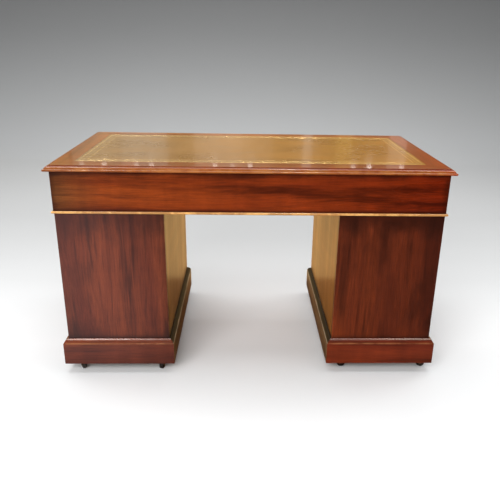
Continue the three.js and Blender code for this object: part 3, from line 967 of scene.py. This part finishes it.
def makeDrawer(name):
    facts = drawerFacts
    label = labelOf(name.replace("_drawer", ""))
    frontLow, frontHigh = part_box(name + "_front")
    faceY = frontLow.y + facts["frontThick"]
    makeDrawerFront(name, label, frontLow, Vector((frontHigh.x, faceY, frontHigh.z)))
    makeDrawerBox(name, label)
    width = frontHigh.x - frontLow.x
    middle = (frontLow + frontHigh) / 2
    for number, direction in enumerate((-1, 1)):
        centre = (middle.x + direction * width * facts["knobSpacing"], faceY - facts["beadProud"], middle.z)
        bm = turnedPattern(knobProfile(), centre, (0, 1, 0))
        knobName = f"drawerKnob{label}{number + 1}"
        finishPiece(knobName, bm, polish["knob"], name, [name + "_front"], 40)
    makeEscutcheon(name, label, (middle.x, faceY - facts["beadProud"], frontHigh.z - facts["lockDrop"]))


# The front's field is sunk a little, which leaves a cock bead round its edge.
def makeDrawerFront(name, label, low, high):
    facts = drawerFacts
    bm = newMeshBuilder()
    addBox(bm, low, high)
    field = max(bm.faces, key=lambda face: face.calc_center_median().y)
    bmesh.ops.inset_region(bm, faces=[field], thickness=facts["beadWidth"], depth=0, use_even_offset=True)
    rim = {edge for face in bm.faces if face is not field for edge in face.edges
           if all(vert.co.y > high.y - 0.1 * mm for vert in edge.verts)}
    bmesh.ops.inset_region(
        bm, faces=[field], thickness=0.15 * mm, depth=-facts["beadProud"], use_even_offset=True,
    )
    rim = {edge for edge in rim if edge.is_valid and edge.calc_face_angle(0) > 0.3}
    easeEdges(bm, rim, 1.2 * mm, 4)
    bmesh.ops.recalc_face_normals(bm, faces=bm.faces[:])
    nodes = [name + "_front"]
    finishPiece("drawerFront" + label, bm, polish["drawerFront"], name, nodes)


def makeDrawerBox(name, label):
    facts = drawerFacts
    low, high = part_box(name + "_box")
    thick, bottom = facts["sideThick"], facts["bottomThick"]
    seam = 0.1 * mm
    underside = low.z + 3 * mm
    floorTop = low.z + bottom + 3 * mm
    left, right = low.x + thick + seam, high.x - thick - seam
    boards = {
        "SideLeft": (low, (low.x + thick, high.y, high.z), "liningAlong"),
        "SideRight": ((high.x - thick, low.y, low.z), high, "liningAlong"),
        "BackBoard": (
            (left, low.y, floorTop + seam), (right, low.y + thick, high.z - 4 * mm), "liningAcross",
        ),
        "Bottom": ((left, low.y, underside), (right, high.y - seam, floorTop), "liningFloor"),
    }
    for part, (lowCorner, highCorner, finish) in boards.items():
        bm = newMeshBuilder()
        addBoard(bm, lowCorner, highCorner, 0.9 * mm, 2)
        addTailMap(bm, Vector(lowCorner), Vector(highCorner))
        finishPiece("drawer" + part + label, bm, polish[finish], name, [name + "_box"])


# The tails map runs from the joint with the front (u, in metres) and up the side (v, in tails).
def addTailMap(bm, low, high):
    layer = bm.loops.layers.uv.new("tails")
    count = max(2, round((high.z - low.z) / drawerFacts["tailPitch"]))
    for face in bm.faces:
        for loop in face.loops:
            place = loop.vert.co
            loop[layer].uv = (high.y - place.y, (place.z - low.z) / (high.z - low.z) * count)


# A brass plate whose inner outline is a keyhole: a round eye above a tapering slot.
def makeEscutcheon(name, label, centre):
    facts = escutcheonFacts
    steps = facts["steps"]
    bm = newMeshBuilder()
    outer, inner = [], []
    for step in range(steps):
        angle = math.tau * step / steps
        sine, cosine = math.sin(angle), math.cos(angle)
        outer.append(bm.verts.new((facts["halfWidth"] * cosine, 0, facts["halfHeight"] * sine)))
        inner.append(bm.verts.new(keyholePoint(sine, cosine)))
    outerEdges = [bm.edges.new((outer[i - 1], outer[i])) for i in range(steps)]
    innerEdges = [bm.edges.new((inner[i - 1], inner[i])) for i in range(steps)]
    bmesh.ops.bridge_loops(bm, edges=outerEdges + innerEdges)
    plate = bm.faces[:]
    bmesh.ops.solidify(bm, geom=plate, thickness=facts["thick"])
    bmesh.ops.recalc_face_normals(bm, faces=bm.faces[:])
    lift = -min(vert.co.y for vert in bm.verts)
    bmesh.ops.translate(bm, verts=bm.verts[:], vec=(centre[0], centre[1] + lift + 0.05 * mm, centre[2]))
    finishPiece("escutcheon" + label, bm, polish["brightBrass"], name, (), 40)
    # a near-black disc behind the keyhole: painted shade for the dark hole of the lock
    hole = newMeshBuilder()
    addTurned(hole, [(0, 0), (6 * mm, 0), (6.2 * mm, 0.12 * mm), (6 * mm, 0.25 * mm), (0, 0.25 * mm)],
              (centre[0], centre[1] - 0.05 * mm, centre[2]), (0, 1, 0), 32)
    closeTurned(hole)
    bmesh.ops.scale(hole, vec=(1, 1, 1.5), verts=hole.verts[:],
                    space=Matrix.Translation((-centre[0], -centre[1], -centre[2])))
    finishPiece("lockDark" + label, hole, polish["lockDark"], name, (), 40)


def keyholePoint(sine, cosine):
    eye, slotHalf, slotEnd = 2.3 * mm, 1.3 * mm, 6.2 * mm
    x, z = eye * cosine, 2 * mm + eye * sine
    if sine < -0.5:
        x = slotHalf * cosine / 0.87
        z = 2 * mm - eye * 0.5 + (sine + 0.5) * 2 * slotEnd
    return (x, 0, z)


# Castors

castorFacts = {
    "cheek": 2.5 * mm,
    "play": 0.8 * mm,
    "bossRadius": 5.5 * mm,
    "bridgeHeight": 7 * mm,
    "collarRadius": 10 * mm,
    "pintleRadius": 4 * mm,
    "axleRadius": 2.5 * mm,
    "plateRadius": 17 * mm,
    "plateThick": 1.6 * mm,
    "wheelHalfWidth": 6.5 * mm,
}


# Builds the four kinds of castor piece once, with the pintle on the Z axis and the wheel towards +X.
def makeCastorPatterns(trail, wheelRadius, wheelHalfWidth, blockZ, pintleTopZ):
    collar, pin = castorFacts["collarRadius"], castorFacts["pintleRadius"]
    return {
        "Horn": hornPattern(trail, wheelRadius, wheelHalfWidth),
        "Pintle": turnedPattern([
            (0, 41 * mm), (collar - 1 * mm, 41 * mm), (collar, 42 * mm), (collar, 45 * mm),
            (7.4 * mm, 47 * mm), (6.6 * mm, 49.4 * mm), (8.4 * mm, 51 * mm), (8.6 * mm, 53.2 * mm),
            (pin, 53.7 * mm), (pin, pintleTopZ - 1 * mm), (pin - 1 * mm, pintleTopZ), (0, pintleTopZ),
        ], (0, 0, 0), (0, 0, 1)),
        "Axle": axlePattern(trail, wheelRadius, wheelHalfWidth),
        "Wheel": wheelPattern(trail, wheelRadius, wheelHalfWidth),
        "Plate": platePattern(blockZ),
    }


# The fork is a swept outline with a slot cut through it for the wheel.
def hornPattern(trail, wheelRadius, wheelHalfWidth):
    facts = castorFacts
    bridgeTop = 42 * mm
    bridgeLow = bridgeTop - facts["bridgeHeight"]
    halfWidth = wheelHalfWidth + facts["play"] + facts["cheek"]
    boss = facts["bossRadius"]
    outline = [
        (-9 * mm, bridgeTop), (-9 * mm, bridgeLow + 1 * mm),
        *sweep((-8 * mm, bridgeLow), (0, bridgeLow - 1 * mm), (trail - boss - 1 * mm, wheelRadius + 12 * mm),
               (trail - boss, wheelRadius), 10),
        *arcPoints((trail, wheelRadius), boss, 180, 360, 14)[1:],
        *sweep((trail + boss, wheelRadius + 0.5 * mm), (trail + boss + 1 * mm, wheelRadius + 10 * mm),
               (trail + 5 * mm, bridgeTop - 3 * mm), (trail + 2 * mm, bridgeTop), 8),
    ]
    fork = newMeshBuilder()
    face = fork.faces.new([fork.verts.new((x, -halfWidth, z)) for x, z in outline])
    bmesh.ops.translate(fork, verts=pulledVerts(fork, face), vec=(0, 2 * halfWidth, 0))
    bmesh.ops.recalc_face_normals(fork, faces=fork.faces[:])
    slot = bmesh.new()
    made = bmesh.ops.create_cube(slot, size=1)
    slotHalf = wheelHalfWidth + facts["play"]
    bmesh.ops.scale(slot, vec=(0.12, 2 * slotHalf, bridgeLow + 0.02), verts=made["verts"])
    bmesh.ops.translate(slot, vec=(0, 0, (bridgeLow - 0.02) / 2), verts=made["verts"])
    carved = carve(fork, slot)
    sharp = math.radians(50)
    corners = [edge for edge in carved.edges if edge.is_manifold and edge.calc_face_angle(0) > sharp]
    easeEdges(carved, corners, 0.6 * mm, 2)
    return carved


def carve(body, tool):
    objects = []
    for label, bm in (("carveBody", body), ("carveTool", tool)):
        mesh = bpy.data.meshes.new(label)
        bm.to_mesh(mesh)
        bm.free()
        made = bpy.data.objects.new(label, mesh)
        scene.collection.objects.link(made)
        objects.append(made)
    cutter = objects[0].modifiers.new("carve", "BOOLEAN")
    cutter.operation = "DIFFERENCE"
    cutter.solver = "EXACT"
    cutter.object = objects[1]
    bpy.context.view_layer.update()
    result = bmesh.new()
    result.from_object(objects[0], bpy.context.evaluated_depsgraph_get())
    for made in objects:
        bpy.data.objects.remove(made)
    for layer in ("edgeWear", "boardNumber"):
        if layer not in result.verts.layers.float:
            result.verts.layers.float.new(layer)
    return result


# A pin with a burred-over head at each end.
def axlePattern(trail, wheelRadius, wheelHalfWidth):
    facts = castorFacts
    reach = wheelHalfWidth + facts["play"] + facts["cheek"]
    radius = facts["axleRadius"]
    head = [(0, -reach - 1.4 * mm), (2 * mm, -reach - 1.2 * mm)]
    head += [(3.4 * mm, -reach - 0.6 * mm), (3.8 * mm, -reach)]
    profile = head + [(radius, -reach + 0.1 * mm), (radius, reach - 0.1 * mm)]
    profile += [(r, -along) for r, along in reversed(head)]
    return turnedPattern(profile, (trail, 0, wheelRadius), (0, 1, 0), 28)


def wheelPattern(trail, wheelRadius, wheelHalfWidth):
    half = wheelHalfWidth
    rim = wheelRadius
    profile = [
        (3.1 * mm, -half + 0.2 * mm), (5.8 * mm, -half), (6.4 * mm, -half + 0.6 * mm),
        (7.2 * mm, -half + 1.5 * mm), (11.6 * mm, -half + 1.5 * mm),
        (12.4 * mm, -half + 0.5 * mm), (rim - 2.2 * mm, -half),
        (rim - 0.8 * mm, -half + 0.8 * mm), (rim, -half + 2.6 * mm), (rim, 0),
    ]
    profile += [(r, -along) for r, along in reversed(profile[:-1])]
    profile.append(profile[0])
    return turnedPattern(profile, (trail, 0, wheelRadius), (0, 1, 0), 64)


# A round plate screwed to the block, with three screw heads.
def platePattern(blockZ):
    facts = castorFacts
    radius, thick = facts["plateRadius"], facts["plateThick"]
    inner = 9.4 * mm
    plate = turnedPattern([
        (inner, blockZ - 0.1 * mm), (radius, blockZ - 0.1 * mm), (radius, blockZ - thick + 0.4 * mm),
        (radius - 0.6 * mm, blockZ - thick), (inner + 0.4 * mm, blockZ - thick),
        (inner, blockZ - thick + 0.4 * mm), (inner, blockZ - 0.1 * mm),
    ], (0, 0, 0), (0, 0, 1), 48)
    for turn in (30, 150, 270):
        angle = math.radians(turn)
        centre = (13.4 * mm * math.cos(angle), 13.4 * mm * math.sin(angle), 0)
        addTurned(plate, [
            (0, blockZ - thick - 0.9 * mm), (1.6 * mm, blockZ - thick - 0.7 * mm),
            (2.6 * mm, blockZ - thick - 0.1 * mm), (2.6 * mm, blockZ - thick + 0.3 * mm),
            (0, blockZ - thick + 0.3 * mm),
        ], centre, (0, 0, 1), 16)
    closeTurned(plate)
    return plate


def makeCastors():
    joints = {joint["name"]: joint for joint in frame["joints"]}
    places = [name[: -len("_swivel")] for name in joints if name.endswith("_swivel")]
    first = places[0]
    trail, wheelRadius = castorTrail(joints, first)[0], joints[first + "_roll"]["pos_m"][2]
    blockZ = joints[first + "_swivel"]["pos_m"][2]
    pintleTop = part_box(first + "_castor_horn")[1].z
    halfWidth = castorFacts["wheelHalfWidth"]
    patterns = makeCastorPatterns(trail, wheelRadius, halfWidth, blockZ, pintleTop)
    rides = {
        "Horn": ("_castor", "castor_brass", "hornBrass"),
        "Pintle": ("_castor", "castor_brass", "hornBrass"),
        "Axle": ("_castor", "castor_iron", "axleSteel"),
        "Wheel": ("_wheel", "castor_iron", "wheelIron"),
        "Plate": (None, "castor_brass", "hornBrass"),
    }
    for place in places:
        angle = castorTrail(joints, place)[1]
        x, y, _ = joints[place + "_swivel"]["pos_m"]
        move = Matrix.Translation((x, y, 0)) @ Matrix.Rotation(angle, 4, "Z")
        label = labelOf(place)
        for part, (suffix, slot, finish) in rides.items():
            mesh = bpy.data.meshes.new("castorPart")
            patterns[part].to_mesh(mesh)
            mesh.transform(move)
            body = place + suffix if suffix else "desk"
            nodes = {"Horn": [place + "_castor_horn"], "Wheel": [place + "_castor_wheel"]}.get(part, ())
            placeMesh(f"castor{part}{label}", mesh, polish[finish], body, nodes, 35)
    for pattern in patterns.values():
        pattern.free()


def castorTrail(joints, place):
    pivot = Vector(joints[place + "_swivel"]["pos_m"])
    hub = Vector(joints[place + "_roll"]["pos_m"])
    reach = (hub - pivot).to_2d()
    return reach.length, math.atan2(reach.y, reach.x)


# Metals and dark bits

def makeMetal(name, colour, tarnish, roughness, metallic=0.9):
    material, tree, surface = newMaterial(name, metallic=metallic)
    place = objectPlace(tree)
    patches = noise(tree, place, 60.0, 5.0, 0.65)
    speckle = noise(tree, place, 540.0, 2.0, 0.5)
    edge = addNode(tree, "ShaderNodeAttribute", attribute_name="edgeWear").outputs["Fac"]
    bright = useGroup(tree, rubbedEdges, {"Vector": place, "Edge": edge, "Amount": 0.9})["Mask"]
    aged = mixColour(tree, ranged(tree, patches, 0.38, 0.64, smooth=True), colour, tarnish)
    aged = mixColour(tree, ranged(tree, speckle, 0.6, 0.75, 0.0, 0.4), aged, tarnish)
    tree.links.new(mixColour(tree, bright, aged, colour), surface.inputs["Base Color"])
    tree.links.new(ranged(tree, patches, 0.3, 0.7, roughness, roughness + 0.22), surface.inputs["Roughness"])
    addBump(tree, surface, 0.2, 0.3 * mm, patches)
    return material


# A near-black disc seen through the keyhole: painted shade for the lock's dark hole, mottled a little.
def makeKeyholeShade():
    material, tree, surface = newMaterial("lockDark", roughness=0.8)
    shadeMottle = ranged(tree, noise(tree, objectPlace(tree), 400.0), 0.3, 0.7)
    colour = mixColour(tree, shadeMottle, (0.004, 0.003, 0.003, 1), (0.016, 0.011, 0.008, 1))
    tree.links.new(colour, surface.inputs["Base Color"])
    return material


# Oak linings; the sides show the dovetails that lap into the front.
def makeLining(name, fibres, tails=False):
    facts = {
        "dark": (0.16, 0.085, 0.038, 1), "middle": (0.36, 0.22, 0.11, 1), "light": (0.5, 0.33, 0.18, 1),
        "worn": (0.6, 0.43, 0.26, 1), "roughness": (0.62, 0.72), "coat": 0.0, "bump": 0.35,
    }
    material = makeWood(name, fibres, streaks=0.4, figure=0.14, pores=0.8, wear=0.3, **facts)
    if not tails:
        return material
    tree = material.node_tree
    surface = tree.nodes["Principled BSDF"]
    lining = surface.inputs["Base Color"].links[0].from_socket
    lap = 14 * mm
    tailMap = addNode(tree, "ShaderNodeUVMap", uv_map="tails").outputs[0]
    fromFront, alongEdge = split(tree, tailMap)[:2]
    saw = arithmetic(tree, "FRACT", arithmetic(tree, "ADD", alongEdge, 0.5))
    pinHalf = ranged(tree, fromFront, 0.0, lap, 0.06, 0.17)
    inPin = arithmetic(tree, "LESS_THAN", gap(tree, saw, 0.5), pinHalf)
    inJoint = arithmetic(tree, "LESS_THAN", fromFront, lap)
    pin = times(tree, inPin, inJoint)
    endGrain = ranged(tree, noise(tree, objectPlace(tree), 900.0), 0.3, 0.7)
    pinColour = mixColour(tree, endGrain, (0.06, 0.018, 0.008, 1), (0.14, 0.05, 0.022, 1))
    tree.links.new(mixColour(tree, pin, lining, pinColour), surface.inputs["Base Color"])
    return material


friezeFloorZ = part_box("frieze_back")[0].z
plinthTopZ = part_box("left_plinth")[1].z
pineFacts = {
    "dark": (0.2, 0.1, 0.045, 1), "middle": (0.33, 0.19, 0.085, 1), "light": (0.46, 0.29, 0.15, 1),
    "worn": (0.55, 0.4, 0.25, 1), "roughness": (0.7, 0.8), "coat": 0.0, "bump": 0.4,
}
# The kneehole sides are a lighter, golden copy of the mahogany: painted reflection of warm light in their
# polish.
kneeholeReflectionFacts = {
    "dark": (0.17, 0.052, 0.010, 1), "middle": (0.36, 0.132, 0.023, 1), "light": (0.50, 0.216, 0.045, 1),
    "roughness": (0.34, 0.28), "coat": 0.3,
}
# The inner plinth faces: the golden colours are painted reflection on the mahogany, the pale worn colour on
# the arris is a painted highlight, and the strong band above a height paints the dark shade along the
# moulding's top.
kneeholePlinthPaintedLightFacts = {
    "dark": (0.07, 0.030, 0.012, 1), "middle": (0.19, 0.085, 0.027, 1), "light": (0.30, 0.145, 0.045, 1),
    "worn": (0.80, 0.62, 0.40, 1), "roughness": (0.34, 0.28), "coat": 0.05, "specular": 0.2,
    "evenness": 0.7, "waxStrength": 2.6,
}
friezeFacts = {
    "dark": (0.034, 0.0045, 0.0010, 1), "middle": (0.165, 0.0185, 0.0012, 1),
    "light": (0.31, 0.046, 0.0036, 1),
    "specular": 0.16, "coat": 0.08,
}
borderFacts = {
    "dark": (0.06, 0.010, 0.002, 1), "middle": (0.205, 0.034, 0.004, 1), "light": (0.31, 0.068, 0.009, 1),
    "worn": (0.40, 0.14, 0.03, 1), "coatRoughness": 0.06, "coat": 0.35, "specular": 0.25,
    "fading": ((-0.69, (0.94, 1.02, 1.0)), (-0.3, (1.0, 1.12, 1.1)), (0.1, (0.96, 0.95, 0.7)),
               (0.6, (0.88, 0.5, 0.2)), (0.69, (0.9, 0.3, 0.06))),
}
# The left pedestal's mahogany is paler and cooler than the right's, partly a painted grey sheen.
leftFacts = {
    "dark": (0.026, 0.0085, 0.0065, 1), "middle": (0.118, 0.0215, 0.0095, 1),
    "light": (0.21, 0.041, 0.0135, 1),
}
# The right pedestal's mahogany is darker than the left's, partly painted shade.
rightFacts = {
    "dark": (0.021, 0.0038, 0.0015, 1), "middle": (0.080, 0.0115, 0.0022, 1),
    "light": (0.148, 0.0245, 0.0044, 1),
    "specular": 0.36,
}
plinthRightFacts = {
    "dark": (0.036, 0.0050, 0.0018, 1), "middle": (0.128, 0.0130, 0.0026, 1),
    "light": (0.20, 0.026, 0.0048, 1),
    "specular": 0.36,
}
# The bead's golden worn colour and its lightened middle and light are partly wear and partly a painted
# highlight running along its top.
beadWearAndHighlight = {
    "worn": (0.80, 0.42, 0.13, 1), "middle": (0.24, 0.07, 0.015, 1), "light": (0.40, 0.13, 0.03, 1),
    "evenness": 0.45,
}


# The centre and half size of what shows of a board above a bottom, with some directions made endless.
def shadeAndAgeBoxOf(name, bottom, *endless):
    low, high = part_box(name)
    low.z = bottom
    half = (high - low) / 2
    for direction in endless:
        half[direction] = 9.0
    return (low + high) / 2, half


polish = {
    "leather": makeLeatherFinish(),
    # The frieze: its tint along X paints a cool sheen at the left end and shade towards the right end; its
    # darkened box edges are painted shade under the top's lip and above the bead, with aged polish; the band
    # above the bead is painted corner shade with old wax.
    "friezeBack": makeWood(
        "friezeBack", "x", friezeFloorZ + 9 * mm, 0.012, streaks=0.75, figure=0.22, clouds=0.3,
        shadeAndAgeBox=shadeAndAgeBoxOf("frieze_back", friezeFloorZ, 1), agedReach=0.022, aged=0.7,
        fading=((-0.67, (0.52, 1.15, 3.0)), (-0.5, (0.95, 1.12, 1.4)), (0.0, (0.85, 0.78, 0.8)),
                (0.67, (0.52, 0.24, 0.06))), **friezeFacts,
    ),
    "friezeSide": makeWood("friezeSide", "y", friezeFloorZ + 9 * mm, 0.012, streaks=0.5, **friezeFacts),
    # The left pedestal's back: its tint along X paints a cool sheen at the left end and darkens towards the
    # kneehole edge; its top is darkened as painted shade under the bead, with aged polish, and it darkens
    # towards the plinth.
    "leftBack": makeWood(
        "leftBack", "z", plinthTopZ, 0.016, streaks=0.85, figure=0.12, clouds=0.5,
        shadeAndAgeBox=shadeAndAgeBoxOf("left_back", plinthTopZ - 0.02, 0, 1), agedReach=0.1, aged=0.55,
        fading=(
            (-0.667, (1.12, 1.25, 1.3)), (-0.6, (1, 1, 1)), (-0.325, (1, 1, 1)), (-0.302, (0.5, 0.5, 0.5)),
        ),
        **leftFacts,
    ),
    # The right pedestal's back: its top is darkened as painted shade under the bead, with aged polish, and it
    # darkens towards the bottom; its tint along X makes it lighter towards the kneehole.
    "rightBack": makeWood(
        "rightBack", "z", plinthTopZ, 0.016, streaks=0.7, figure=0.12, clouds=0.65, shiftBy=(0.4, 0.3, 0.2),
        shadeAndAgeBox=shadeAndAgeBoxOf("right_back", 0, 0, 1), agedReach=0.09, aged=0.8,
        fading=((0.3, (1.5, 1.35, 0.9)), (0.42, (1.14, 1.0, 0.8)), (0.67, (0.92, 0.75, 0.66))), **rightFacts,
    ),
    "outerSide": makeWood(
        "outerSide", "z", plinthTopZ, 0.016, streaks=0.7, clouds=0.4, shiftBy=(0.2, 0.9, 0.1), **leftFacts,
    ),
    "kneeholeSide": makeWood(
        "kneeholeSide", "z", plinthTopZ, 0.02, streaks=0.35,
        fading=((-0.31, (0.85, 0.86, 0.90)), (0.31, (1, 0.94, 0.74))), **kneeholeReflectionFacts,
    ),
    # the tint along X paints the floor's grey reflection on the right plinth's inner face
    "kneeholePlinth": makeWood(
        "kneeholePlinth", "y", plinthTopZ - 5 * mm, 0.014, wear=1.6, streaks=0.7,
        fading=((-0.31, (1, 1, 1)), (0.31, (0.80, 0.90, 1.3))), **kneeholePlinthPaintedLightFacts,
    ),
    "railAlong": makeWood("railAlong", "x", streaks=0.5, shiftBy=(0.7, 0.1, 0.6)),
    "dividerEdge": makeWood("dividerEdge", "z", streaks=0.5, shiftBy=(0.1, 0.5, 0.3)),
    "drawerFront": makeWood("drawerFront", "x", streaks=0.75, figure=0.45, wear=0.7),
    "knob": makeWood("knob", "y", streaks=0.3, wear=0.5, coatRoughness=0.08),
    "liningAlong": makeLining("liningAlong", "y", tails=True),
    "liningAcross": makeLining("liningAcross", "x"),
    "liningFloor": makeLining("liningFloor", "y"),
    "pineAlong": makeWood("pineAlong", "y", streaks=0.45, figure=0.1, pores=0.2, **pineFacts),
    "brightBrass": makeMetal("brightBrass", (0.7, 0.46, 0.16, 1), (0.22, 0.12, 0.04, 1), 0.22),
    "hornBrass": makeMetal("hornBrass", (0.34, 0.21, 0.08, 1), (0.045, 0.028, 0.014, 1), 0.34),
    "axleSteel": makeMetal("axleSteel", (0.3, 0.28, 0.26, 1), (0.06, 0.045, 0.035, 1), 0.4),
    "wheelIron": makeMetal("wheelIron", (0.1, 0.085, 0.075, 1), (0.018, 0.014, 0.012, 1), 0.42, 0.5),
    "lockDark": makeKeyholeShade(),
}
# Frames have one finish for their lengths along X and one for those along Y.
frameFinishes = {
    "border": {"streaks": 0.4, **borderFacts},
    "bead": {"streaks": 0.2, "wear": 1.0, **beadWearAndHighlight},
    "leftPlinth": {"streaks": 0.7, "wear": 0.6, **leftFacts},
    "rightPlinth": {"streaks": 0.6, "wear": 0.6, **plinthRightFacts},
}
for frameName, changes in frameFinishes.items():
    for direction, fibres in (("Along", "x"), ("Across", "y")):
        polish[frameName + direction] = makeWood(frameName + direction, fibres, **changes)
print("finishes made:", len(polish))

makeTopBorder()
makeLeather()
makeFrieze()
makeBead()
print("top section made")
makePedestals()
print("pedestals made")
for body in frame["bodies"]:
    if body.endswith("_drawer"):
        makeDrawer(body)
print("drawers made")
makeCastors()
print("castors made")
makeCamera()
makeLights()
makeBackdrop()
print("camera, lights and paper made")
